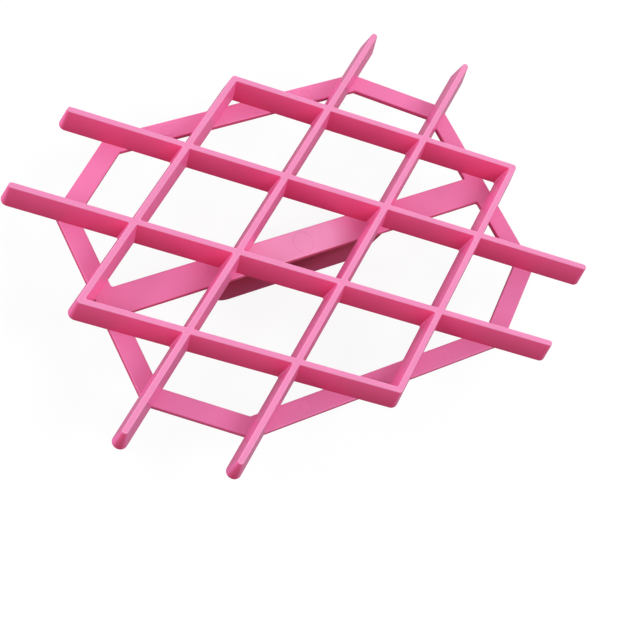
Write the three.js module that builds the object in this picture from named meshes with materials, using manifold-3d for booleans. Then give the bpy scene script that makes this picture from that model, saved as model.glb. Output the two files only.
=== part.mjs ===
// Diamond lattice embosser for rolled icing: one pink moulding, shown blades up.
// Two families of four wedge-shaped blades cross in a diamond lattice. Under them lie an
// octagonal ring of flat straps and a crossbar, and under the crossbar stands the grip fin.
// X runs along the crossbar, Y across it, and Z up. The origin is under the grip's middle.
// Every size is in millimetres.

import * as THREE from 'three';
import { ConvexGeometry } from 'three/addons/geometries/ConvexGeometry.js';
import { mergeVertices } from 'three/addons/utils/BufferGeometryUtils.js';
import Module from 'manifold-3d';

const wasm = await Module();
wasm.setup();

// Driving sizes of the lattice
const INNER_PITCH = 25.4;
const OUTER_PITCH = 24.4;
const LATTICE_ANGLE = THREE.MathUtils.degToRad(72.6);
const ARM_LENGTH = 28.2;

// Driving sizes of a blade
const BLADE_HEIGHT = 6.5;
const EDGE_WIDTH = 1.4;
const ROOT_WIDTH = 3.5;
const EDGE_RADIUS = 0.25;

// Driving sizes of the straps
const STRAP_THICKNESS = 1.5;
const RING_WIDTH = 4.85;
const RING_SETBACK = 9.4;
const RING_SIDE_SETBACK = 10.55;
const CROSSBAR_WIDTH = 7.05;

// Driving sizes of the grip
const GRIP_DEPTH = 16.65;
const GRIP_THICKNESS = 2.8;
const GRIP_ROOT_LENGTH = 52.8;
const GRIP_TIP_LENGTH = 41.6;
const GRIP_CORNER_RADIUS = 6;
const GRIP_EDGE_RADIUS = 0.95;

// Clearances between neighbouring members
const LAP_GAP = 0.3;
const SEAM_GAP = 0.3;

// How far a slot's cutter runs past each wall of the blade
const CUT_OVERRUN = 1.5;

// Vertices closer than this are one vertex
const MERGE_DISTANCE = 0.0001;

// Counts of facets
const NOSE_STEPS = 12;
const EDGE_STEPS = 3;
const CORNER_STEPS = 10;

// Heights of the levels
const STRAP_LEVEL = GRIP_DEPTH;
const BLADE_LEVEL = STRAP_LEVEL + STRAP_THICKNESS;

// Places worked out from the driving sizes
const HALF_ANGLE = LATTICE_ANGLE / 2;
const INNER_OFFSET = INNER_PITCH / 2;
const OUTER_OFFSET = INNER_OFFSET + OUTER_PITCH;
const NOSE_CENTRE = OUTER_OFFSET + ARM_LENGTH;
const FALLING = new THREE.Vector2(Math.cos(HALF_ANGLE), -Math.sin(HALF_ANGLE));
const RISING = new THREE.Vector2(Math.cos(HALF_ANGLE), Math.sin(HALF_ANGLE));

// The whole tool is moulded from one semi-gloss pink plastic
function pinkPlastic() {
  return new THREE.MeshStandardMaterial({ color: 0xe8659f, roughness: 0.25, metalness: 0 });
}

// A closed geometry as a manifold solid
function toSolid(geometry) {
  const bare = geometry.clone();
  bare.deleteAttribute('normal');
  bare.deleteAttribute('uv');
  const merged = mergeVertices(bare, MERGE_DISTANCE);
  const mesh = new wasm.Mesh({
    numProp: 3,
    vertProperties: new Float32Array(merged.attributes.position.array),
    triVerts: new Uint32Array(merged.index.array),
  });
  return new wasm.Manifold(mesh);
}

// A manifold solid as a geometry with flat shading
function toGeometry(solid) {
  const mesh = solid.getMesh();
  const indexed = new THREE.BufferGeometry();
  indexed.setAttribute('position', new THREE.BufferAttribute(mesh.vertProperties, 3));
  indexed.setIndex(new THREE.BufferAttribute(mesh.triVerts, 1));
  const flat = indexed.toNonIndexed();
  flat.computeVertexNormals();
  return flat;
}

// The point at given distances from the centre, along the falling and the rising direction
function latticePoint(alongFalling, alongRising) {
  return new THREE.Vector2()
    .addScaledVector(FALLING, alongFalling)
    .addScaledVector(RISING, alongRising);
}

// A blade's half width at each height of its section, from the root to the rounded edge
function bladeProfile() {
  const slope = Math.atan2((ROOT_WIDTH - EDGE_WIDTH) / 2, BLADE_HEIGHT);
  const centreHeight = BLADE_HEIGHT - EDGE_RADIUS;
  const wallAtCentre = halfWidthAt(centreHeight);
  const arcCentre = wallAtCentre - EDGE_RADIUS / Math.cos(slope);
  const rows = [{ half: ROOT_WIDTH / 2, height: 0 }];
  for (let step = 0; step <= EDGE_STEPS; step += 1) {
    const turn = slope + (Math.PI / 2 - slope) * (step / EDGE_STEPS);
    rows.push({
      half: arcCentre + EDGE_RADIUS * Math.cos(turn),
      height: centreHeight + EDGE_RADIUS * Math.sin(turn),
    });
  }
  return rows;
}

// The half width of the straight wedge wall at a height above the root
function halfWidthAt(height) {
  return (ROOT_WIDTH + (EDGE_WIDTH - ROOT_WIDTH) * (height / BLADE_HEIGHT)) / 2;
}

// An inner blade lies along its own X and ends in round noses
function innerBladeSolid() {
  const points = [];
  for (const { half, height } of bladeProfile()) {
    for (let step = 0; step <= NOSE_STEPS; step += 1) {
      const turn = -Math.PI / 2 + Math.PI * (step / NOSE_STEPS);
      const reach = NOSE_CENTRE + half * Math.cos(turn);
      const across = half * Math.sin(turn);
      points.push(new THREE.Vector3(reach, across, height));
      points.push(new THREE.Vector3(-reach, across, height));
    }
  }
  return toSolid(new ConvexGeometry(points));
}

// An outer blade lies along its own X and ends flush with the outer walls of the two blades
// that cross it, which lean by the given angle from its own direction
function outerBladeSolid(crossingAngle) {
  const points = [];
  for (const { half, height } of bladeProfile()) {
    const wallReach = OUTER_OFFSET + half / Math.abs(Math.sin(crossingAngle));
    for (const across of [-half, half]) {
      const lean = across / Math.tan(crossingAngle);
      points.push(new THREE.Vector3(wallReach + lean, across, height));
      points.push(new THREE.Vector3(-wallReach + lean, across, height));
    }
  }
  return toSolid(new ConvexGeometry(points));
}

// The slot that a crossing blade needs between two heights, as a prism along the slot's own X
function lapSlot(low, high) {
  const lowHalf = halfWidthAt(low) + LAP_GAP;
  const highHalf = halfWidthAt(high) + LAP_GAP;
  const outline = new THREE.Shape([
    new THREE.Vector2(-lowHalf, low),
    new THREE.Vector2(lowHalf, low),
    new THREE.Vector2(highHalf, high),
    new THREE.Vector2(-highHalf, high),
  ]);
  const depth = ROOT_WIDTH + CUT_OVERRUN * 2;
  const prism = new THREE.ExtrudeGeometry(outline, { depth, bevelEnabled: false });
  prism.translate(0, 0, -depth / 2);
  prism.applyMatrix4(new THREE.Matrix4().makeBasis(
    new THREE.Vector3(0, 1, 0),
    new THREE.Vector3(0, 0, 1),
    new THREE.Vector3(1, 0, 0),
  ));
  return toSolid(prism);
}

// Cuts the four half-lap slots of a blade. Falling blades are slotted from below and rising
// blades from above, so the two families slide into each other
function slottedBlade(blade, isFalling, crossingAngle) {
  const middle = BLADE_HEIGHT / 2;
  const straightSlot = isFalling
    ? lapSlot(-LAP_GAP, middle + LAP_GAP / 2)
    : lapSlot(middle - LAP_GAP / 2, BLADE_HEIGHT + LAP_GAP);
  const slot = straightSlot.rotate([0, 0, THREE.MathUtils.radToDeg(crossingAngle)]);
  let result = blade;
  for (const place of [-OUTER_OFFSET, -INNER_OFFSET, INNER_OFFSET, OUTER_OFFSET]) {
    result = result.subtract(slot.translate([place, 0, 0]));
  }
  return result;
}

// One blade of a family, at a place along the other family's direction
function bladeMesh(name, isFalling, place) {
  const crossingAngle = isFalling ? LATTICE_ANGLE : -LATTICE_ANGLE;
  const isOuter = Math.abs(place) === OUTER_OFFSET;
  const blade = isOuter ? outerBladeSolid(crossingAngle) : innerBladeSolid();
  const solid = slottedBlade(blade, isFalling, crossingAngle);
  const mesh = new THREE.Mesh(toGeometry(solid), pinkPlastic());
  const centre = isFalling ? latticePoint(0, place) : latticePoint(place, 0);
  mesh.name = name;
  mesh.position.set(centre.x, centre.y, 0);
  mesh.rotation.z = isFalling ? -HALF_ANGLE : HALF_ANGLE;
  return mesh;
}

function makeBlades() {
  const group = new THREE.Group();
  const places = [
    ['outer', OUTER_OFFSET],
    ['inner', INNER_OFFSET],
  ];
  for (const [rank, offset] of places) {
    group.add(bladeMesh(`falling_blade_back_${rank}`, true, offset));
    group.add(bladeMesh(`falling_blade_front_${rank}`, true, -offset));
    group.add(bladeMesh(`rising_blade_left_${rank}`, false, -offset));
    group.add(bladeMesh(`rising_blade_right_${rank}`, false, offset));
  }
  group.position.z = BLADE_LEVEL;
  return group;
}

// The outer corners of the ring, counter-clockwise, each on an inner blade's centre line and
// set back from the blade's nose
function ringCorners() {
  const back = latticePoint(-INNER_OFFSET, NOSE_CENTRE - RING_SETBACK);
  const side = latticePoint(INNER_OFFSET, NOSE_CENTRE - RING_SIDE_SETBACK);
  return [
    new THREE.Vector2(side.x, -side.y),
    side,
    back,
    new THREE.Vector2(-back.x, back.y),
    new THREE.Vector2(-side.x, side.y),
    new THREE.Vector2(-side.x, -side.y),
    new THREE.Vector2(-back.x, -back.y),
    new THREE.Vector2(back.x, -back.y),
  ];
}

// The same corners moved inwards by the ring's width
function insetCorners(corners, width) {
  return corners.map((corner, index) => {
    const before = corners[(index + corners.length - 1) % corners.length];
    const after = corners[(index + 1) % corners.length];
    const arriving = corner.clone().sub(before).normalize();
    const leaving = after.clone().sub(corner).normalize();
    const inward = leaving.clone().sub(arriving).normalize();
    const sine = Math.abs(inward.cross(leaving));
    return corner.clone().addScaledVector(inward, width / sine);
  });
}

// A flat plate of even thickness from an outline, standing on its own XY plane
function plateMesh(name, outline) {
  const depth = STRAP_THICKNESS;
  const geometry = new THREE.ExtrudeGeometry(outline, { depth, bevelEnabled: false });
  const mesh = new THREE.Mesh(geometry, pinkPlastic());
  mesh.name = name;
  return mesh;
}

// A ring strap is mitred at both ends, half a seam short of each corner
function ringStrap(name, outerStart, outerEnd, innerStart, innerEnd) {
  const shift = outerEnd.clone().sub(outerStart).setLength(SEAM_GAP / 2);
  const outline = new THREE.Shape([
    outerStart.clone().add(shift),
    outerEnd.clone().sub(shift),
    innerEnd.clone().sub(shift),
    innerStart.clone().add(shift),
  ]);
  return plateMesh(name, outline);
}

function makeRing() {
  const group = new THREE.Group();
  const outer = ringCorners();
  const inner = insetCorners(outer, RING_WIDTH);
  const sides = [
    'right', 'back_right', 'back', 'back_left', 'left', 'front_left', 'front', 'front_right',
  ];
  sides.forEach((side, index) => {
    const next = (index + 1) % sides.length;
    const name = `ring_strap_${side}`;
    group.add(ringStrap(name, outer[index], outer[next], inner[index], inner[next]));
  });
  group.position.z = STRAP_LEVEL;
  return group;
}

// The crossbar spans the ring along X, a seam short of it at each end
function makeCrossbar() {
  const reach = ringCorners()[0].x - RING_WIDTH - SEAM_GAP;
  const half = CROSSBAR_WIDTH / 2;
  const outline = new THREE.Shape([
    new THREE.Vector2(-reach, -half),
    new THREE.Vector2(reach, -half),
    new THREE.Vector2(reach, half),
    new THREE.Vector2(-reach, half),
  ]);
  const mesh = plateMesh('crossbar', outline);
  mesh.position.z = STRAP_LEVEL;
  return mesh;
}

// Half of the grip's side view, from the middle of the tip to the root, drawn in by an inset:
// a flat tip, a tip corner rounded by an arc, and a sloping end
function gripHalfOutline(inset) {
  const rootHalf = GRIP_ROOT_LENGTH / 2;
  const tipHalf = GRIP_TIP_LENGTH / 2;
  const slope = Math.atan2(rootHalf - tipHalf, GRIP_DEPTH);
  const cornerX = tipHalf - GRIP_CORNER_RADIUS * Math.tan((Math.PI / 2 - slope) / 2);
  const radius = GRIP_CORNER_RADIUS - inset;
  const points = [];
  for (let step = 0; step <= CORNER_STEPS; step += 1) {
    const turn = -Math.PI / 2 + (Math.PI / 2 - slope) * (step / CORNER_STEPS);
    points.push(new THREE.Vector2(
      cornerX + radius * Math.cos(turn),
      GRIP_CORNER_RADIUS + radius * Math.sin(turn),
    ));
  }
  points.push(new THREE.Vector2(rootHalf - inset / Math.cos(slope), GRIP_DEPTH));
  return points;
}

// The grip is a flat fin whose free edge is rounded: towards each side, its outline draws in
// along a quarter circle
function makeGrip() {
  const flatHalf = GRIP_THICKNESS / 2 - GRIP_EDGE_RADIUS;
  const points = [];
  for (let step = 0; step <= EDGE_STEPS; step += 1) {
    const turn = (Math.PI / 2) * (step / EDGE_STEPS);
    const across = flatHalf + GRIP_EDGE_RADIUS * Math.sin(turn);
    for (const { x, y } of gripHalfOutline(GRIP_EDGE_RADIUS * (1 - Math.cos(turn)))) {
      for (const side of [-across, across]) {
        points.push(new THREE.Vector3(x, side, y), new THREE.Vector3(-x, side, y));
      }
    }
  }
  const mesh = new THREE.Mesh(new ConvexGeometry(points), pinkPlastic());
  mesh.name = 'grip_fin';
  return mesh;
}

const embosser = new THREE.Group();
embosser.add(makeBlades(), makeRing(), makeCrossbar(), makeGrip());

export default embosser;
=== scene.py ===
"""Diamond lattice embosser for rolled icing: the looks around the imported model.

One pink moulding, shown blades up. Two families of four wedge blades cross in a diamond
lattice. Under them lie an octagonal ring of flat straps and a crossbar, and under the
crossbar stands the grip fin. X runs along the crossbar, Y across it and Z up, in metres.
"""

import math

import bpy
import numpy as np
from mathutils import Matrix, Vector


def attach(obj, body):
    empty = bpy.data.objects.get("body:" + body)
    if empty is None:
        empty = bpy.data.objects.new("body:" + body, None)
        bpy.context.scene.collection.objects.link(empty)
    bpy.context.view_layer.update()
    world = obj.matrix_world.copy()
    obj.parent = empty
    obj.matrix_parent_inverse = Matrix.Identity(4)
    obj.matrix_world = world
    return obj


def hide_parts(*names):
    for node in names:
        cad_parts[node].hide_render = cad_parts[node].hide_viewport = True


bl_info = {
    "name": "Diamond lattice embosser",
    "version": (1, 0, 0),
    "blender": (4, 5, 0),
    "location": "3D View > Sidebar > Embosser",
    "description": "Builds a moulded diamond lattice embosser and its studio stage",
    "category": "Object",
}

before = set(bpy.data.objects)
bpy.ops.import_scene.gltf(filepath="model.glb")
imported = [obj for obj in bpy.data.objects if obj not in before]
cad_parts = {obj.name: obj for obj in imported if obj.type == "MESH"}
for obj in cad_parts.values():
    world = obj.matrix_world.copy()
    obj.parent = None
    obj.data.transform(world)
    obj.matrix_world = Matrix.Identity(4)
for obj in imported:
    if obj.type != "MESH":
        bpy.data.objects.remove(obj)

BODY = "root"
MILLIMETRE = 0.001

# Facets of a rounded corner in plan, and of a rounded edge in section
CORNER_STEPS = 10
EDGE_STEPS = 6

# A full round nose keeps this share of the half width as its radius, so its arcs never meet
NOSE_SHARE = 0.98

# How far a member sinks into the one that carries it, so that no two faces coincide
SINK = 0.1 * MILLIMETRE


# Plan outlines

def edge_normals(corners):
    """Outward unit normal of each edge of a counter-clockwise outline, which is the edge's
    direction turned a quarter to the right."""
    edges = np.roll(corners, -1, axis=0) - corners
    edges = edges / np.linalg.norm(edges, axis=1, keepdims=True)
    return np.stack([edges[:, 1], -edges[:, 0]], axis=1)


def corner_speeds(normals, free):
    """How far each corner moves out while every free edge moves out by one: the vector whose
    share along the normal of each of its two edges is that edge's own speed."""
    pairs = np.stack([np.roll(normals, 1, axis=0), normals], axis=1)
    rates = np.stack([np.roll(free, 1), free], axis=1)
    return np.linalg.solve(pairs, rates[..., None])[..., 0]


class Outline:
    """A closed counter-clockwise outline whose corners are rounded by arcs.

    Each corner has its radius, whether the edge from it to the next one is free to move,
    and whether it is a nose. Each point has its place, its drift and its facing. The drift
    is how far it moves out while the free edges move out by one. A round corner keeps its
    radius while it drifts, except a nose, which keeps its centre. The facing is the outward
    normal in plan."""

    def __init__(self, corners, radii, free=None, nose=None):
        corners = np.asarray(corners, float)
        radii = np.asarray(radii, float)
        count = len(corners)
        free = np.ones(count) if free is None else np.asarray(free, float)
        nose = np.zeros(count, bool) if nose is None else np.asarray(nose, bool)
        normals = edge_normals(corners)
        before = np.roll(normals, 1, axis=0)
        cross = before[:, 0] * normals[:, 1] - before[:, 1] * normals[:, 0]
        turns = np.arctan2(cross, (before * normals).sum(axis=1))
        starts = np.arctan2(before[:, 1], before[:, 0])
        shares = np.linspace(0, 1, CORNER_STEPS + 1)
        angles = starts[:, None] + turns[:, None] * shares
        arcs = np.stack([np.cos(angles), np.sin(angles)], axis=-1)
        reach = (np.sign(turns) * radii)[:, None]
        centres = corners - reach * corner_speeds(normals, np.ones(count))
        places = centres[:, None] + reach[..., None] * arcs
        drifts = np.where(nose[:, None, None], arcs, corner_speeds(normals, free)[:, None])
        sharp = np.roll(free, 1)[:, None] * before + free[:, None] * normals
        sharp = sharp / np.linalg.norm(sharp, axis=1, keepdims=True)
        facings = np.where(radii[:, None, None] > 0, arcs, sharp[:, None])
        kept = np.ones(angles.shape, bool)
        kept[radii == 0, 1:] = False
        self.places = places[kept]
        self.drifts = np.broadcast_to(drifts, places.shape)[kept]
        self.facings = np.broadcast_to(facings, places.shape)[kept]


def bar_corners(start, end, half):
    """The four corners of a straight bar between two points, counter-clockwise, with the
    long edge on the right of its direction first."""
    start, end = np.asarray(start, float), np.asarray(end, float)
    along = (end - start) / np.linalg.norm(end - start)
    left = np.array([-along[1], along[0]]) * half
    return np.array([start - left, end - left, end + left, start + left])


def cut_bar(start, end, half):
    """Outline of a straight bar whose two ends are cut, to meet its neighbours' stubs."""
    return Outline(bar_corners(start, end, half), [0] * 4, [1, 0, 1, 0])


# Sections and solids

def section_rows(low, high, root, slope, low_round, high_round):
    """Inset, height and tilt of each row of a wall from a rounded lower edge to a rounded
    upper one. Between them the wall leans in by the slope, and its inset is nothing at the
    root height. An arc's row lies its radius from the arc's centre, at the tilt's angle."""
    rows = []
    for centre, radius, first, last in (
        (low + low_round, low_round, -math.pi / 2, slope),
        (high - high_round, high_round, slope, math.pi / 2),
    ):
        tilt = np.linspace(first, last, EDGE_STEPS + 1)
        middle = (centre - root) * math.tan(slope) + radius / math.cos(slope)
        inset = middle - radius * np.cos(tilt)
        rows.append(np.stack([inset, centre + radius * np.sin(tilt), tilt], axis=1))
    return np.concatenate(rows)


def closed_rows(low, high):
    """Four-cornered faces between closed rows of points, low ones and the high ones above
    them: a low point, the next low one, the high one above that and the first high one."""
    corners = [low, np.roll(low, -1, axis=1), np.roll(high, -1, axis=1), high]
    return np.stack(corners, axis=-1).reshape(-1, 4)


def swept_solid(outline, rows):
    """A closed solid whose wall is the outline carried up the section's rows: its points,
    their normals and its faces, in groups of equal faces. A point lies at its place less the
    inset times its drift, at the row's height. Its normal is the facing times the cosine of
    the tilt, with the drift's share along the facing times its sine upwards. Flat faces
    close both ends."""
    inset, height, tilt = rows.T[:, :, None]
    count = len(outline.places)
    points = np.empty((len(rows), count, 3))
    points[..., :2] = outline.places - inset[..., None] * outline.drifts
    points[..., 2] = height
    share = (outline.drifts * outline.facings).sum(axis=1)
    normals = np.empty_like(points)
    normals[..., :2] = np.cos(tilt)[..., None] * outline.facings
    normals[..., 2] = np.sin(tilt) * share
    normals /= np.linalg.norm(normals, axis=2, keepdims=True)
    grid = np.arange(len(rows) * count).reshape(-1, count)
    faces = [closed_rows(grid[:-1], grid[1:]), grid[-1:], grid[:1, ::-1]]
    return points.reshape(-1, 3), normals.reshape(-1, 3), faces


def turned(solid, angle, centre):
    """The solid turned about Z by the angle, and then moved so that its origin is at the
    centre."""
    points, normals, faces = solid
    cosine, sine = math.cos(angle), math.sin(angle)
    turn = np.array([[cosine, sine, 0], [-sine, cosine, 0], [0, 0, 1]])
    shift = np.array([centre[0], centre[1], 0])
    return points @ turn + shift, normals @ turn, faces


def upended(solid):
    """The solid with its plan stood up: its own Y becomes Z, and its own Z becomes -Y."""
    points, normals, faces = solid
    turn = np.array([[1, 0, 0], [0, 0, 1], [0, -1, 0]])
    return points @ turn, normals @ turn, faces


def make_piece(name, solids, material, levels):
    """One object from closed solids, with its place in its mesh. Its attribute of the share of
    height goes from 0 at the first level to 1 at the second, and is held between -1 and 1; the
    material paints shade by it, deepest at the first level."""
    points = np.concatenate([solid[0] for solid in solids])
    normals = np.concatenate([solid[1] for solid in solids])
    faces = []
    first = 0
    for solid_points, _, groups in solids:
        for group in groups:
            faces += (group + first).tolist()
        first += len(solid_points)
    mesh = bpy.data.meshes.new(name)
    mesh.from_pydata(points.tolist(), [], faces)
    mesh.polygons.foreach_set("use_smooth", np.ones(len(mesh.polygons), bool))
    mesh.normals_split_custom_set_from_vertices(normals.tolist())
    level_share = mesh.attributes.new("level_share", "FLOAT", "POINT")
    thick, thin = levels
    shares = np.clip((points[:, 2] - thick) / (thin - thick), -1.0, 1.0)
    level_share.data.foreach_set("value", shares)
    mesh.materials.append(material)
    mesh.update()
    piece = bpy.data.objects.new(name, mesh)
    bpy.context.scene.collection.objects.link(piece)
    return piece


def dress(name, node, solids, levels, is_grip=False):
    """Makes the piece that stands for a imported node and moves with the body."""
    piece = make_piece(name, solids, moulded_plastic(is_grip), levels)
    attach(piece, BODY)
    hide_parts(node)


# Layout of the lattice

class Lattice:
    """Directions and distances that the blades and the ring share."""

    def __init__(self, sizes):
        self.half_angle = sizes.lattice_angle / 2
        self.inner = sizes.inner_pitch / 2
        self.outer = self.inner + sizes.outer_pitch
        self.nose = self.outer + sizes.arm_length
        self.half_root = sizes.root_width / 2
        cosine, sine = math.cos(self.half_angle), math.sin(self.half_angle)
        self.falling = np.array([cosine, -sine])
        self.rising = np.array([cosine, sine])
        self.strap_level = sizes.grip_depth
        self.blade_level = self.strap_level + sizes.strap_thickness
        self.blade_levels = (self.blade_level, self.blade_level + sizes.blade_height)
        self.places = (-self.outer, -self.inner, self.inner, self.outer)

    def point(self, along_falling, along_rising):
        return self.falling * along_falling + self.rising * along_rising


def blade_rows(sizes, lattice):
    """Section of a blade's wall: a wedge from the root to the rounded top edges."""
    draw = (sizes.root_width - sizes.edge_width) / 2
    slope = math.atan2(draw, sizes.blade_height)
    level = lattice.blade_level
    return section_rows(
        level - SINK, level + sizes.blade_height, level, slope, SINK, sizes.blade_rounding
    )


def stub_corners(lattice, place, reach):
    """Corners of the stub that leaves a rising blade to its right, along the falling
    direction, at a crossing. They are in the blade's own axes, in which it lies along X."""
    angle = 2 * lattice.half_angle
    along = np.array([math.cos(angle), -math.sin(angle)])
    across = np.array([math.sin(angle), math.cos(angle)])
    centre = np.array([place, 0.0])
    half = lattice.half_root
    to_wall = along * (half / math.sin(angle))
    lean = np.array([half / math.sin(angle), 0.0])
    return np.array([
        centre + to_wall - lean,
        centre + along * reach - across * half,
        centre + along * reach + across * half,
        centre + to_wall + lean,
    ])


def stub_run(corners, fillet):
    """Each corner of a stub as place, radius, free and nose: a fillet on both sides where it
    leaves the blade, and between them the cut end, which meets the neighbour's."""
    return list(zip(corners, (fillet, 0, 0, fillet), (1, 0, 1, 1), (False,) * 4))


def nose_run(corners, radius):
    """Each corner of a free end as place, radius, free and nose."""
    return [(corner, radius, 1, True) for corner in corners]


def rising_outline(sizes, lattice, is_outer):
    """Outline of a rising blade in its own axes, with a stub of each blade that crosses it.
    Inner ones end in round noses. Outer ones end in the lattice's corners, and this is the
    right one, whose left neighbour is the same outline turned by half a turn."""
    near, far = [], []
    for place in lattice.places:
        stub = stub_corners(lattice, place, sizes.stub_reach)
        opposite = 2 * np.array([place, 0.0]) - stub
        near.append(stub_run(stub, sizes.crossing_fillet))
        far.append(stub_run(opposite, sizes.crossing_fillet))
    if is_outer:
        # The lattice's corners lie where the outer stubs would leave the blade
        ends = (near[0][0][0], near[3][3][0])
        left, right = nose_run(ends, sizes.lattice_corner)
        run = [left, *near[1], *near[2], right, *far[3][1:], *far[2], *far[1], *far[0][:3]]
    else:
        half = lattice.half_root
        end = lattice.nose + half
        right = nose_run([(end, -half), (end, half)], half * NOSE_SHARE)
        left = nose_run([(-end, half), (-end, -half)], half * NOSE_SHARE)
        run = [corner for stub in near for corner in stub] + right
        run += [corner for stub in far[::-1] for corner in stub] + left
    return Outline(*zip(*run))


def falling_outlines(sizes, lattice, is_outer):
    """Outlines of the bars of a falling blade, between the stubs of the rising ones, in the
    blade's own axes. Inner blades have an arm more at each end, with a round nose."""
    half = lattice.half_root
    whole = half * NOSE_SHARE
    reach = sizes.stub_reach
    places = lattice.places
    outlines = []
    for start, end in zip(places[:-1], places[1:]):
        outlines.append(cut_bar((start + reach, 0), (end - reach, 0), half))
    if not is_outer:
        end = lattice.nose + half
        right = bar_corners((places[3] + reach, 0), (end, 0), half)
        left = bar_corners((-end, 0), (places[0] - reach, 0), half)
        outlines.append(Outline(
            right, [0, whole, whole, 0], [1, 1, 1, 0], [False, True, True, False]
        ))
        outlines.append(Outline(
            left, [whole, 0, 0, whole], [1, 0, 1, 1], [True, False, False, True]
        ))
    return outlines


# The ring's straps, counter-clockwise
RING_STRAPS = (
    "right", "back_right", "back", "back_left", "left", "front_left", "front", "front_right",
)


def strap_rows(sizes, lattice):
    """Section of a strap's wall: upright, with both edges rounded."""
    top = lattice.blade_level
    bottom = lattice.strap_level
    rounding = sizes.strap_rounding
    return section_rows(bottom, top, bottom, 0.0, rounding, rounding)


def ring_corners(sizes, lattice):
    """Outer corners of the ring, where each of its straps begins, and the same moved in by
    its width."""
    back = lattice.point(-lattice.inner, lattice.nose - sizes.ring_setback)
    side = lattice.point(lattice.inner, lattice.nose - sizes.ring_side_setback)
    outer = np.array([
        (side[0], -side[1]),
        side,
        back,
        (-back[0], back[1]),
        (-side[0], side[1]),
        -side,
        -back,
        (back[0], -back[1]),
    ])
    speeds = corner_speeds(edge_normals(outer), np.ones(len(outer)))
    return outer, outer - speeds * sizes.ring_width


def ring_side(sizes, lattice, name, with_crossbar):
    """Outline of a ring strap that owns both its corners, with a stub of each strap and of
    the crossbar that meets it."""
    index = RING_STRAPS.index(name)
    outer, inner = ring_corners(sizes, lattice)
    normals = edge_normals(outer)
    along = np.stack([-normals[:, 1], normals[:, 0]], axis=1)
    ahead = (index + 1) % len(outer)
    behind = index - 1
    reach, width = sizes.stub_reach, sizes.ring_width
    first = inner[index] - along[behind] * reach
    last = inner[ahead] + along[ahead] * reach
    outside, inside = sizes.ring_outer_corner, sizes.ring_inner_corner
    corners = [
        first + normals[behind] * width, outer[index], outer[ahead],
        last + normals[ahead] * width, last, inner[ahead],
    ]
    radii = [0, outside, outside, 0, 0, inside]
    free = [1, 1, 1, 0, 1, 1]
    if with_crossbar:
        half = sizes.crossbar_width / 2
        wall = inner[index][0]
        corners += [(wall, half), (wall - reach, half), (wall - reach, -half), (wall, -half)]
        radii += [inside, 0, 0, inside]
        free += [1, 0, 1, 1]
    corners += [inner[index], first]
    radii += [inside, 0]
    free += [1, 0]
    return Outline(corners, radii, free)


def ring_diagonal(sizes, lattice, name):
    """Outline of a ring strap between the stubs of its two neighbours."""
    index = RING_STRAPS.index(name)
    outer, inner = ring_corners(sizes, lattice)
    normal = edge_normals(outer)[index]
    along = np.array([-normal[1], normal[0]])
    half = sizes.ring_width / 2
    start = inner[index] + along * sizes.stub_reach + normal * half
    end = inner[(index + 1) % len(outer)] - along * sizes.stub_reach + normal * half
    return cut_bar(start, end, half)


def witness_ring(sizes, lattice, centre, radius):
    """The faint raised ring that an ejector pin leaves on a strap's top: a flat ellipse
    carried round a circle. A point lies at the circle's radius plus the ellipse's half
    width times the cosine of its tilt, and at the top plus its height times the sine. Its
    normal has that cosine over the half width outwards, and that sine over the height
    upwards."""
    half_width, height = sizes.witness_width / 2, sizes.witness_height
    tilt, around = np.meshgrid(
        np.linspace(0, 2 * math.pi, 2 * EDGE_STEPS, endpoint=False),
        np.linspace(0, 2 * math.pi, 4 * CORNER_STEPS, endpoint=False),
        indexing="ij",
    )
    reach = radius + half_width * np.cos(tilt)
    points = np.stack([
        centre[0] + reach * np.cos(around),
        centre[1] + reach * np.sin(around),
        lattice.blade_level + height * np.sin(tilt),
    ], axis=-1)
    outwards, upwards = np.cos(tilt) / half_width, np.sin(tilt) / height
    normals = np.stack([
        outwards * np.cos(around), outwards * np.sin(around), upwards
    ], axis=-1)
    normals /= np.linalg.norm(normals, axis=2, keepdims=True)
    grid = np.arange(tilt.size).reshape(tilt.shape)
    faces = [closed_rows(grid, np.roll(grid, -1, axis=0))]
    return points.reshape(-1, 3), normals.reshape(-1, 3), faces


# Nodes

WHITE = (1.0, 1.0, 1.0, 1.0)


def opaque(tone):
    """The colour with full cover, as a node takes it."""
    return (*tone, 1.0)


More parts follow.
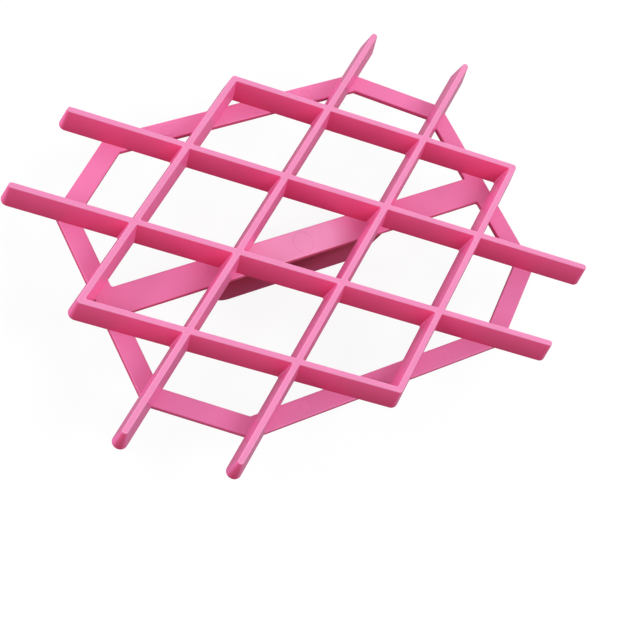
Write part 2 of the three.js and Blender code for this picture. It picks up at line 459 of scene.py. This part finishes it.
class Nodes:
    """The nodes of a material or a world, with a short call for each kind in use."""

    def __init__(self, owner):
        owner.use_nodes = True
        self.tree = owner.node_tree

    def feed(self, socket, value):
        """Links an input to another node's output, or gives it a plain value."""
        if isinstance(value, bpy.types.NodeSocket):
            self.tree.links.new(value, socket)
        else:
            socket.default_value = value

    def add(self, kind, inputs=None, **settings):
        """A new node with these settings, and with its inputs fed by name or place."""
        node = self.tree.nodes.new(kind)
        for name, value in settings.items():
            setattr(node, name, value)
        for key, value in (inputs or {}).items():
            self.feed(node.inputs[key], value)
        return node

    def coordinates(self, kind):
        return self.add("ShaderNodeTexCoord").outputs[kind]

    def coordinate(self, kind, axis):
        split = self.add("ShaderNodeSeparateXYZ", {"Vector": self.coordinates(kind)})
        return split.outputs[axis]

    def ray(self, kind):
        return self.add("ShaderNodeLightPath").outputs[kind]

    def noise(self, scale, detail):
        inputs = {"Vector": self.coordinates("Object"), "Scale": scale, "Detail": detail}
        return self.add("ShaderNodeTexNoise", inputs).outputs["Fac"]

    def ranged(self, value, span, result=(0.0, 1.0)):
        """The value carried from its span to the result's, and held at both ends."""
        inputs = {
            "Value": value,
            "From Min": span[0], "From Max": span[1],
            "To Min": result[0], "To Max": result[1],
        }
        return self.add("ShaderNodeMapRange", inputs).outputs["Result"]

    def unsigned(self, value):
        return self.add("ShaderNodeMath", {0: value}, operation="ABSOLUTE").outputs[0]

    def product(self, first, second):
        inputs = {0: first, 1: second}
        return self.add("ShaderNodeMath", inputs, operation="MULTIPLY").outputs[0]

    def length(self, vector):
        node = self.add("ShaderNodeVectorMath", {0: vector}, operation="LENGTH")
        return node.outputs["Value"]

    def share_along(self, kind, direction):
        """Scalar product of the coordinates with a direction, without its sign."""
        inputs = {0: self.coordinates(kind), 1: direction}
        node = self.add("ShaderNodeVectorMath", inputs, operation="DOT_PRODUCT")
        return self.unsigned(node.outputs["Value"])

    def scaled(self, tone, factor):
        inputs = {"Vector": tone, "Scale": factor}
        node = self.add("ShaderNodeVectorMath", inputs, operation="SCALE")
        return node.outputs["Vector"]

    # A Mix node takes two numbers at places 2 and 3 or two colours at 6 and 7

    def mixed_numbers(self, factor, first, second):
        inputs = {0: factor, 2: first, 3: second}
        return self.add("ShaderNodeMix", inputs, data_type="FLOAT").outputs[0]

    def mixed_tones(self, factor, first, second):
        inputs = {0: factor, 6: first, 7: second}
        return self.add("ShaderNodeMix", inputs, data_type="RGBA").outputs[2]

    def mixed_shaders(self, factor, first, second):
        inputs = {0: factor, 1: first.outputs[0], 2: second.outputs[0]}
        return self.add("ShaderNodeMixShader", inputs)


# Material

# By the upright share of the normal: where a wall's tone, with its painted light and shade, and
# its roughness turn into a flat face's, and where a painted highlight starts and ends between
# the two
FLAT_SPAN = (0.3, 0.9)
RIM_START_SPAN = (0.3, 0.6)
RIM_END_SPAN = (0.96, 1.0)

# By the share of height: where the straps end, and where the blades' painted highlights on
# rounded edges start
STRAP_SPAN = (-0.03, -0.01)
RIM_THINNESS_SPAN = (0.0, 0.2)

# By the share of the falling walls' normal: where the rising blades' painted-light walls end
# and the falling blades' painted-shade walls begin
RISING_SPAN = (0.55, 0.97)

# Where a free arm, painted in shade, starts, in distances from the middle to an outer blade
ARM_SPAN = (0.9, 1.1)

# The painted sheen keeps its full tone up to this share of its reach
PAINTED_SHEEN_CORE = 0.6

# Scale and detail of each noise, and the spans of the first two that count
CLOUD_NOISE = (90.0, 3.0)
SPECKLE_NOISE = (260.0, 4.0)
WAVE_NOISE = (160.0, 1.0)
GRAIN_NOISE = (2600.0, 2.0)
CLOUD_SPAN = (0.3, 0.6)
SPECKLE_SPAN = (0.3, 0.7)

WAVE_STRENGTH = 0.35
GRAIN_STRENGTH = 0.4


def strap_tone(nodes, finish):
    """The straps' pink, with a painted sheen that makes it paler round a spot a little left of
    the middle, painted shade that makes it deeper in front and painted light that makes it
    lighter at the back. The distance from that spot is the length of (x + offset, y)."""
    inputs = {
        0: nodes.coordinates("Object"),
        1: (1.0, 1.0, 0.0),
        2: (finish.painted_sheen_offset, 0.0, 0.0),
    }
    from_sheen_centre = nodes.add("ShaderNodeVectorMath", inputs, operation="MULTIPLY_ADD")
    distance = nodes.length(from_sheen_centre.outputs["Vector"])
    core = PAINTED_SHEEN_CORE * finish.painted_sheen_reach
    sheen = nodes.ranged(distance, (core, finish.painted_sheen_reach), (1.0, 0.0))
    tone = nodes.mixed_tones(sheen, opaque(finish.strap_pink), opaque(finish.painted_sheen_pink))
    # Painted shade in front and painted light at the back
    reach, depth = finish.front_shade_reach, finish.front_shade
    across = nodes.coordinate("Object", "Y")
    shade = nodes.ranged(across, (-reach, reach), (1.0 - depth, 1.0 + depth))
    return nodes.scaled(tone, shade)


def lattice_wall_tone(nodes, finish, level_share):
    """Painted shade and light on the walls: the falling blades' walls get a shaded rose,
    painted deeper still at the root, the rising blades' walls a lit pink, painted duller on
    their free arms, and the straps' sides a shaded rose of their own. A falling wall's normal
    is (sine, cosine) of the half angle, and the distance along a rising blade is x / (2 cosine)
    + y / (2 sine)."""
    lattice = Lattice(bpy.context.scene.embosser_sizes)
    cosine, sine = math.cos(lattice.half_angle), math.sin(lattice.half_angle)
    falling_share = nodes.share_along("Normal", (sine, cosine, 0.0))
    is_rising = nodes.ranged(falling_share, RISING_SPAN, (1.0, 0.0))
    is_strap = nodes.ranged(level_share, STRAP_SPAN, (1.0, 0.0))
    along_rising = nodes.share_along("Object", (0.5 / cosine, 0.5 / sine, 0.0))
    is_arm = nodes.ranged(along_rising, [share * lattice.outer for share in ARM_SPAN])
    falling = nodes.mixed_tones(level_share, opaque(finish.root_shade_rose), opaque(finish.crest_shade_rose))
    rising = nodes.mixed_tones(is_arm, opaque(finish.lit_flank_pink), opaque(finish.shaded_arm_pink))
    blades = nodes.mixed_tones(is_rising, falling, rising)
    return nodes.mixed_tones(is_strap, blades, opaque(finish.side_shade_rose))


def grip_wall_tone(nodes, finish, level_share):
    """Painted shade on the fin's sides: a dark rose for the shadow under the crossbar, fading
    down into a shaded rose.
    """
    root, tip = opaque(finish.grip_shadow_rose), opaque(finish.grip_shade_rose)
    return nodes.mixed_tones(level_share, root, tip)


def rim_highlight_share(nodes, upright, level_share):
    """The painted highlight's share of the colour: all on the rounded edges of blades and grip,
    which are neither wall nor flat, and none elsewhere."""
    start = nodes.ranged(upright, RIM_START_SPAN)
    end = nodes.ranged(upright, RIM_END_SPAN, (1.0, 0.0))
    on_blade = nodes.ranged(level_share, RIM_THINNESS_SPAN)
    return nodes.product(nodes.product(start, end), on_blade)


def plastic_roughness(nodes, finish, flatness, wall_roughness):
    """Polished on walls and satin on flat faces, and a little uneven on both."""
    speckle = nodes.noise(*SPECKLE_NOISE)
    spread = finish.roughness_spread
    polished, satin = [
        nodes.ranged(speckle, SPECKLE_SPAN, (mean - spread, mean + spread))
        for mean in (wall_roughness, finish.flat_roughness)
    ]
    return nodes.mixed_numbers(flatness, polished, satin)


def plastic_relief(nodes, finish):
    """The normal, tilted by broad waves and then by a fine grain."""
    waves = nodes.add("ShaderNodeBump", {
        "Strength": WAVE_STRENGTH,
        "Distance": finish.wave_depth,
        "Height": nodes.noise(*WAVE_NOISE),
    })
    grain = nodes.add("ShaderNodeBump", {
        "Strength": GRAIN_STRENGTH,
        "Distance": finish.grain_depth,
        "Height": nodes.noise(*GRAIN_NOISE),
        "Normal": waves.outputs["Normal"],
    })
    return grain.outputs["Normal"]


def plastic_tone(nodes, finish, upright, flatness, level_share, is_grip):
    """The colour: painted lit and shaded tones for walls and flat faces, and a painted
    highlight on the rounded edges, all a little darker in clouds.
    """
    make_wall_tone = grip_wall_tone if is_grip else lattice_wall_tone
    walls = make_wall_tone(nodes, finish, level_share)
    straps = strap_tone(nodes, finish)
    # Painted light: the blades' tops are paler than the straps'
    flats = nodes.mixed_tones(level_share, straps, opaque(finish.lit_crest_pink))
    faces = nodes.mixed_tones(flatness, walls, flats)
    rim_highlights = rim_highlight_share(nodes, upright, level_share)
    # Painted highlight on the rounded edges
    tone = nodes.mixed_tones(rim_highlights, faces, opaque(finish.rim_highlight_pink))
    darkest = 1.0 - finish.cloud_depth
    clouds = nodes.ranged(nodes.noise(*CLOUD_NOISE), CLOUD_SPAN, (darkest, 1.0))
    return nodes.scaled(tone, clouds)


def moulded_plastic(is_grip):
    """The pink plastic with its painted light and shade, made once for blades and straps and
    once for the grip, whose tones are painted darker in shade.
    """
    name = "matt grip plastic with painted shade" if is_grip else "moulded pink plastic"
    found = bpy.data.materials.get(name)
    if found:
        return found
    material = bpy.data.materials.new(name)
    nodes = Nodes(material)
    finish = bpy.context.scene.embosser_finish
    upright = nodes.unsigned(nodes.coordinate("Normal", "Z"))
    flatness = nodes.ranged(upright, FLAT_SPAN)
    level_share = nodes.add("ShaderNodeAttribute", attribute_name="level_share").outputs["Fac"]
    tone = plastic_tone(nodes, finish, upright, flatness, level_share, is_grip)
    wall_roughness = finish.grip_roughness if is_grip else finish.wall_roughness
    shader = nodes.tree.nodes["Principled BSDF"]
    for socket, value in (
        ("Base Color", tone),
        ("Roughness", plastic_roughness(nodes, finish, flatness, wall_roughness)),
        ("Normal", plastic_relief(nodes, finish)),
        ("IOR", finish.ior),
        ("Specular IOR Level", finish.grip_specular if is_grip else finish.specular),
    ):
        nodes.feed(shader.inputs[socket], value)
    return material


# Properties

def length(name, description, millimetres):
    return bpy.props.FloatProperty(
        name=name, description=description, default=millimetres * MILLIMETRE,
        min=0.0, precision=5, subtype="DISTANCE", unit="LENGTH",
    )


class EmbosserSizes(bpy.types.PropertyGroup):
    """Sizes of the embosser."""

    inner_pitch: length("Inner pitch", "Distance between the two inner blades", 25.4)
    outer_pitch: length("Outer pitch", "Distance from an inner blade to the outer one", 24.4)
    arm_length: length("Arm length", "From the outer blade to the centre of a nose", 28.2)
    blade_height: length("Blade height", "Height of a blade above the straps", 6.5)
    edge_width: length("Edge width", "Width of a blade at its top", 1.4)
    root_width: length("Root width", "Width of a blade at its root", 3.5)
    blade_rounding: length("Blade rounding", "Radius of a blade's top edges", 0.35)
    crossing_fillet: length("Crossing fillet", "Inner corners where blades cross", 0.35)
    lattice_corner: length("Lattice corner", "Outer corners of the lattice's roots", 1.85)
    stub_reach: length("Stub reach", "How far a stub runs out to its neighbour", 3.6)
    strap_thickness: length("Strap thickness", "Thickness of ring and crossbar", 1.5)
    strap_rounding: length("Strap rounding", "Radius of a strap's edges", 0.32)
    ring_width: length("Ring width", "Width of the ring's straps", 4.85)
    ring_setback: length("Ring setback", "From a rising nose to the ring's corner", 9.4)
    ring_side_setback: length(
        "Ring side setback", "From a falling nose to the ring's corner", 10.55
    )
    ring_outer_corner: length("Ring outer corner", "Radius of the ring's outer corners", 1.0)
    ring_inner_corner: length("Ring inner corner", "Radius of the ring's inner corners", 0.6)
    crossbar_width: length("Crossbar width", "Width of the crossbar", 7.05)
    witness_radius: length("Witness radius", "Ejector pin's witness on the crossbar", 2.6)
    witness_offset: length("Witness offset", "How far it lies left of the middle", 0.7)
    witness_width: length("Witness width", "Width of such a witness ring", 0.4)
    witness_height: length("Witness height", "How far such a witness stands proud", 0.05)
    ring_witness_radius: length("Ring witness radius", "Such a witness on the ring", 1.4)
    ring_witness_reach: length("Ring witness reach", "From the middle of its strap", 19.7)
    grip_depth: length("Grip depth", "From the crossbar to the grip's tip", 16.65)
    grip_thickness: length("Grip thickness", "Thickness of the grip fin", 2.8)
    grip_root_length: length("Grip root length", "Length of the fin at the crossbar", 52.8)
    grip_tip_length: length("Grip tip length", "Length of the fin at its tip", 41.6)
    grip_corner_radius: length("Grip corner radius", "Corners of the fin's tip", 6.0)
    grip_edge_radius: length("Grip edge radius", "Rounding of the fin's free edge", 0.95)
    # The fin's painted shadow fades out over this depth below the crossbar
    grip_shade_depth: length("Grip shade depth", "How far down the deep tone fades", 3.6)
    lattice_angle: bpy.props.FloatProperty(
        name="Lattice angle", description="Angle at which the two families of blades cross",
        default=math.radians(72.6), subtype="ANGLE", unit="ROTATION",
    )


def colour(name, description, default):
    return bpy.props.FloatVectorProperty(
        name=name, description=description, default=default,
        min=0.0, max=1.0, size=3, subtype="COLOR",
    )


def amount(name, description, default):
    return bpy.props.FloatProperty(name=name, description=description, default=default)


class EmbosserFinish(bpy.types.PropertyGroup):
    """Colour and gloss of the plastic, with painted light, shade, sheen and highlights among
    its tones.
    """

    strap_pink: colour("Strap pink", "Satin faces of straps", (0.765, 0.174, 0.388))
    # Painted sheen: the next three make the straps paler round a spot a little left of the
    # middle, which the descriptions call the gate
    painted_sheen_pink: colour("Painted sheen pink", "Paler plastic around the gate", (0.83, 0.285, 0.51))
    painted_sheen_reach: length("Painted sheen reach", "How far the blush reaches from the gate", 18.0)
    painted_sheen_offset: length("Painted sheen offset", "How far the gate lies left of the middle", 4.0)
    # Painted shade and light: the straps are painted deeper at the front and lighter at the
    # back
    front_shade: amount("Front shade", "How much deeper the straps are at the front", 0.09)
    front_shade_reach: length("Front shade reach", "From the middle to the full shade", 46.0)
    # Painted light: the blades' tops, in the plastic's pink painted paler than the straps' for
    # the light and highlights that they catch
    lit_crest_pink: colour("Lit crest pink", "Satin tops of blades", (0.775, 0.233, 0.443))
    # Painted highlight on the rounded edges of blades and grip
    rim_highlight_pink: colour("Rim highlight pink", "Rounded edges of blades and grip", (0.80, 0.27, 0.48))
    # Painted light on the rising blades' walls, and painted shade on their free arms
    lit_flank_pink: colour("Lit flank pink", "Walls of the rising blades", (0.90, 0.167, 0.42))
    shaded_arm_pink: colour("Shaded arm pink", "The same walls on the free arms", (0.81, 0.155, 0.385))
    # Painted shade on the straps' sides and on the falling blades' walls, deepest at the root
    side_shade_rose: colour("Side shade rose", "Sides of the straps", (0.70, 0.08, 0.22))
    root_shade_rose: colour("Root shade rose", "Falling blades' walls at the root", (0.614, 0.049, 0.149))
    crest_shade_rose: colour("Crest shade rose", "Falling blades' walls at the top", (0.86, 0.097, 0.261))
    # Painted shadow on the fin under the crossbar, and painted shade further down
    grip_shadow_rose: colour("Grip shadow rose", "The fin at the crossbar", (0.31, 0.002, 0.014))
    grip_shade_rose: colour("Grip shade rose", "The fin further down", (0.57, 0.072, 0.18))
    cloud_depth: amount("Cloud depth", "How much the colour's clouds darken it", 0.04)
    ior: amount("IOR", "Index of refraction", 1.5)
    flat_roughness: amount("Flat roughness", "Mean roughness of the satin faces", 0.36)
    wall_roughness: amount("Wall roughness", "Mean roughness of the polished faces", 0.22)
    grip_roughness: amount("Grip roughness", "Mean roughness of the fin's sides", 0.45)
    specular: amount("Specular", "Specular level of the lattice", 0.25)
    grip_specular: amount("Grip specular", "Specular level of the fin", 0.1)
    roughness_spread: amount("Roughness spread", "How far the roughness varies", 0.05)
    wave_depth: length("Wave depth", "Depth of the broad waves of the surface", 0.03)
    grain_depth: length("Grain depth", "Depth of the fine grain of the surface", 0.004)


# Operators

class EMBOSSER_OT_rising_blades(bpy.types.Operator):
    """Makes the four rising blades, each with the stubs of the blades that cross it"""

    bl_idname = "embosser.rising_blades"
    bl_label = "Rising blades"

    def execute(self, context):
        sizes = context.scene.embosser_sizes
        lattice = Lattice(sizes)
        rows = blade_rows(sizes, lattice)
        outer = swept_solid(rising_outline(sizes, lattice, True), rows)
        inner = swept_solid(rising_outline(sizes, lattice, False), rows)
        for side, place, half_turn, solid in (
            ("left_outer", -lattice.outer, math.pi, outer),
            ("left_inner", -lattice.inner, 0.0, inner),
            ("right_inner", lattice.inner, 0.0, inner),
            ("right_outer", lattice.outer, 0.0, outer),
        ):
            angle = lattice.half_angle + half_turn
            blade = turned(solid, angle, lattice.point(place, 0))
            dress(f"wedge_rising_{side}", f"rising_blade_{side}", [blade], lattice.blade_levels)
        return {"FINISHED"}


class EMBOSSER_OT_falling_blades(bpy.types.Operator):
    """Makes the four falling blades, in bars between the stubs of the rising ones"""

    bl_idname = "embosser.falling_blades"
    bl_label = "Falling blades"

    def execute(self, context):
        sizes = context.scene.embosser_sizes
        lattice = Lattice(sizes)
        rows = blade_rows(sizes, lattice)
        for side, place in (
            ("front_outer", -lattice.outer),
            ("front_inner", -lattice.inner),
            ("back_inner", lattice.inner),
            ("back_outer", lattice.outer),
        ):
            is_outer = side.endswith("outer")
            centre = lattice.point(0, place)
            bars = [
                turned(swept_solid(outline, rows), -lattice.half_angle, centre)
                for outline in falling_outlines(sizes, lattice, is_outer)
            ]
            dress(f"wedge_falling_{side}", f"falling_blade_{side}", bars, lattice.blade_levels)
        return {"FINISHED"}


class EMBOSSER_OT_ring(bpy.types.Operator):
    """Makes the ring's eight straps, with two witness marks on the front and the back one"""

    bl_idname = "embosser.ring"
    bl_label = "Ring"

    def execute(self, context):
        sizes = context.scene.embosser_sizes
        lattice = Lattice(sizes)
        rows = strap_rows(sizes, lattice)
        right = swept_solid(ring_side(sizes, lattice, "right", True), rows)
        back = swept_solid(ring_side(sizes, lattice, "back", False), rows)
        back_corner = ring_corners(sizes, lattice)[0][RING_STRAPS.index("back")]
        middle = back_corner[1] - sizes.ring_width / 2
        marks = [
            witness_ring(sizes, lattice, (place, middle), sizes.ring_witness_radius)
            for place in (-sizes.ring_witness_reach, sizes.ring_witness_reach)
        ]
        origin = (0.0, 0.0)
        straps = {
            "right": [right],
            "back": [back, *marks],
            "left": [turned(right, math.pi, origin)],
            "front": [turned(solid, math.pi, origin) for solid in (back, *marks)],
        }
        for name in ("back_right", "back_left", "front_left", "front_right"):
            straps[name] = [swept_solid(ring_diagonal(sizes, lattice, name), rows)]
        for name, solids in straps.items():
            dress(f"strap_{name}", f"ring_strap_{name}", solids, lattice.blade_levels)
        return {"FINISHED"}


class EMBOSSER_OT_crossbar(bpy.types.Operator):
    """Makes the crossbar with its witness mark"""

    bl_idname = "embosser.crossbar"
    bl_label = "Crossbar"

    def execute(self, context):
        sizes = context.scene.embosser_sizes
        lattice = Lattice(sizes)
        inner = ring_corners(sizes, lattice)[1]
        reach = inner[0][0] - sizes.stub_reach
        outline = cut_bar((-reach, 0), (reach, 0), sizes.crossbar_width / 2)
        bar = swept_solid(outline, strap_rows(sizes, lattice))
        centre = (-sizes.witness_offset, 0.0)
        mark = witness_ring(sizes, lattice, centre, sizes.witness_radius)
        dress("flat_crossbar", "crossbar", [bar, mark], lattice.blade_levels)
        return {"FINISHED"}


class EMBOSSER_OT_grip(bpy.types.Operator):
    """Makes the grip fin under the crossbar"""

    bl_idname = "embosser.grip"
    bl_label = "Grip"

    def execute(self, context):
        sizes = context.scene.embosser_sizes
        depth = sizes.grip_depth + SINK
        root = sizes.grip_root_length / 2
        tip = sizes.grip_tip_length / 2
        round_corner = sizes.grip_corner_radius
        outline = Outline(
            [(-tip, 0.0), (tip, 0.0), (root, depth), (-root, depth)],
            [round_corner, round_corner, 0, 0],
            [1, 1, 0, 1],
            [True, True, False, False],
        )
        half = sizes.grip_thickness / 2
        edge = sizes.grip_edge_radius
        rows = section_rows(-half, half, 0.0, 0.0, edge, edge)
        fin = upended(swept_solid(outline, rows))
        # The fin's painted shadow runs from the crossbar down by the shade depth
        levels = (sizes.grip_depth, sizes.grip_depth - sizes.grip_shade_depth)
        dress("fin", "grip_fin", [fin], levels, is_grip=True)
        return {"FINISHED"}


# Stage

# The camera's place, and the directions of its right, its top and its back
CAMERA_PLACE = (-0.156018, -0.113483, 0.299061)
CAMERA_RIGHT = (0.84453, -0.44226, 0.30196)
CAMERA_UP = (0.28930, 0.85130, 0.43771)
CAMERA_BACK = (-0.45063, -0.28230, 0.84690)
LENS_MILLIMETRES = 80.16
SENSOR_MILLIMETRES = 36.0
NEAREST_SEEN = 0.01
FARTHEST_SEEN = 20.0

SOFTBOX_WIDTH = 0.45
SOFTBOX_DISTANCE = 0.9

# Each softbox's name, azimuth, elevation, height and radiance
SOFTBOXES = (
    ("far strip", 60, 5.5, 0.15, 1.31),
    ("far left strip", 120, 5.5, 0.15, 1.85),
    ("left strip", 150, 5.5, 0.15, 3.73),
    ("right softbox", 0, 20, 0.45, 0.74),
    ("far right softbox", 30, 20, 0.45, 2.22),
    ("far softbox", 60, 20, 0.45, 1.01),
    ("far left softbox", 120, 20, 0.45, 2.37),
    ("left softbox", 150, 20, 0.45, 4.40),
    ("near left softbox", 195, 20, 0.45, 0.60),
    ("near right softbox", 330, 20, 0.45, 0.89),
    ("high far softbox", 45, 50, 0.45, 0.79),
    ("high left softbox", 180, 50, 0.45, 0.91),
    ("high near left softbox", 225, 50, 0.45, 2.68),
    ("high near right softbox", 315, 50, 0.45, 6.00),
)
WORLD_LEVEL = 0.312

# The floor's colour for the light that it throws back, and for its image in glossy faces
FLOOR_REACH = 4.0
FLOOR_COLOUR = (0.30, 0.29, 0.29)
FLOOR_MIRRORED = (0.28, 0.27, 0.27)

# How much of the shadow the camera sees, and how far from the middle it fades out
FLOOR_SHADOW_SHARE = 0.12
FLOOR_SHADOW_REACH = 0.5


def floor_material():
    """White to the camera, with a share that still takes the object's shadow near it, and
    duller colours for the light that it throws back and for its image in glossy faces."""
    material = bpy.data.materials.new("pale floor")
    nodes = Nodes(material)
    nodes.tree.nodes.clear()
    distance = nodes.length(nodes.coordinates("Object"))
    fade_span = (FLOOR_SHADOW_REACH / 2, FLOOR_SHADOW_REACH)
    shadow_share = nodes.ranged(distance, fade_span, (FLOOR_SHADOW_SHARE, 0.0))
    glow = nodes.add("ShaderNodeEmission", {"Color": WHITE})
    matt = nodes.add("ShaderNodeBsdfDiffuse", {"Color": WHITE})
    seen = nodes.mixed_shaders(shadow_share, glow, matt)
    thrown, mirrored = opaque(FLOOR_COLOUR), opaque(FLOOR_MIRRORED)
    tone = nodes.mixed_tones(nodes.ray("Is Glossy Ray"), thrown, mirrored)
    lit = nodes.add("ShaderNodeBsdfDiffuse", {"Color": tone})
    choice = nodes.mixed_shaders(nodes.ray("Is Camera Ray"), lit, seen)
    nodes.add("ShaderNodeOutputMaterial", {"Surface": choice.outputs[0]})
    return material


def make_floor(scene):
    """A wide pale floor under the grip's tip."""
    reach = FLOOR_REACH
    corners = [(-reach, -reach, 0), (reach, -reach, 0), (reach, reach, 0), (-reach, reach, 0)]
    mesh = bpy.data.meshes.new("floor")
    mesh.from_pydata(corners, [], [(0, 1, 2, 3)])
    mesh.materials.append(floor_material())
    floor = bpy.data.objects.new("floor", mesh)
    scene.collection.objects.link(floor)


def make_world(scene):
    """An even pale surround, white where the camera sees it."""
    world = bpy.data.worlds.new("pale surround")
    nodes = Nodes(world)
    nodes.tree.nodes.clear()
    level = nodes.mixed_numbers(nodes.ray("Is Camera Ray"), WORLD_LEVEL, 1.0)
    background = nodes.add("ShaderNodeBackground", {"Color": WHITE, "Strength": level})
    nodes.add("ShaderNodeOutputWorld", {"Surface": background.outputs[0]})
    scene.world = world


def make_softbox(scene, name, azimuth, elevation, height, radiance):
    """An area lamp facing the object's middle, from an azimuth counted from X towards Y and
    an elevation, both in degrees. Its power is its radiance times its area times pi."""
    lamp = bpy.data.lights.new(name, "AREA")
    lamp.shape = "RECTANGLE"
    lamp.size = SOFTBOX_WIDTH
    lamp.size_y = height
    lamp.energy = radiance * SOFTBOX_WIDTH * height * math.pi
    softbox = bpy.data.objects.new(name, lamp)
    turn, lift = math.radians(azimuth), math.radians(elevation)
    towards = Vector((
        math.cos(turn) * math.cos(lift), math.sin(turn) * math.cos(lift), math.sin(lift)
    ))
    softbox.location = towards * SOFTBOX_DISTANCE
    softbox.rotation_mode = "QUATERNION"
    softbox.rotation_quaternion = towards.to_track_quat("Z", "Y")
    scene.collection.objects.link(softbox)


def make_camera(scene):
    """The camera at the photograph's viewing angle."""
    data = bpy.data.cameras.new("camera")
    data.lens = LENS_MILLIMETRES
    data.sensor_width = SENSOR_MILLIMETRES
    data.clip_start = NEAREST_SEEN
    data.clip_end = FARTHEST_SEEN
    camera = bpy.data.objects.new("camera", data)
    turn = Matrix((CAMERA_RIGHT, CAMERA_UP, CAMERA_BACK)).transposed()
    camera.matrix_world = Matrix.Translation(CAMERA_PLACE) @ turn.to_4x4()
    scene.collection.objects.link(camera)
    scene.camera = camera


class EMBOSSER_OT_stage(bpy.types.Operator):
    """Makes the floor, the surround, the softboxes and the camera"""

    bl_idname = "embosser.stage"
    bl_label = "Stage"

    def execute(self, context):
        scene = context.scene
        scene.view_settings.view_transform = "Standard"
        make_floor(scene)
        make_world(scene)
        for softbox in SOFTBOXES:
            make_softbox(scene, *softbox)
        make_camera(scene)
        return {"FINISHED"}


class EMBOSSER_PT_build(bpy.types.Panel):
    """Lists the embosser's operators, sizes and finish"""

    bl_idname = "EMBOSSER_PT_build"
    bl_label = "Embosser"
    bl_space_type = "VIEW_3D"
    bl_region_type = "UI"
    bl_category = "Embosser"

    def draw(self, context):
        column = self.layout.column(align=True)
        for operator in OPERATORS:
            column.operator(operator.bl_idname)
        for group in (context.scene.embosser_sizes, context.scene.embosser_finish):
            column = self.layout.column(align=True)
            for name in group.__annotations__:
                column.prop(group, name)


OPERATORS = (
    EMBOSSER_OT_rising_blades,
    EMBOSSER_OT_falling_blades,
    EMBOSSER_OT_ring,
    EMBOSSER_OT_crossbar,
    EMBOSSER_OT_grip,
    EMBOSSER_OT_stage,
)
CLASSES = (EmbosserSizes, EmbosserFinish, *OPERATORS, EMBOSSER_PT_build)


def register():
    for item in CLASSES:
        bpy.utils.register_class(item)
    bpy.types.Scene.embosser_sizes = bpy.props.PointerProperty(type=EmbosserSizes)
    bpy.types.Scene.embosser_finish = bpy.props.PointerProperty(type=EmbosserFinish)


def unregister():
    del bpy.types.Scene.embosser_finish
    del bpy.types.Scene.embosser_sizes
    for item in reversed(CLASSES):
        bpy.utils.unregister_class(item)


def main():
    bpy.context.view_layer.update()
    register()
    bpy.ops.embosser.rising_blades()
    bpy.ops.embosser.falling_blades()
    bpy.ops.embosser.ring()
    bpy.ops.embosser.crossbar()
    bpy.ops.embosser.grip()
    bpy.ops.embosser.stage()


if __name__ == "__main__":
    main()
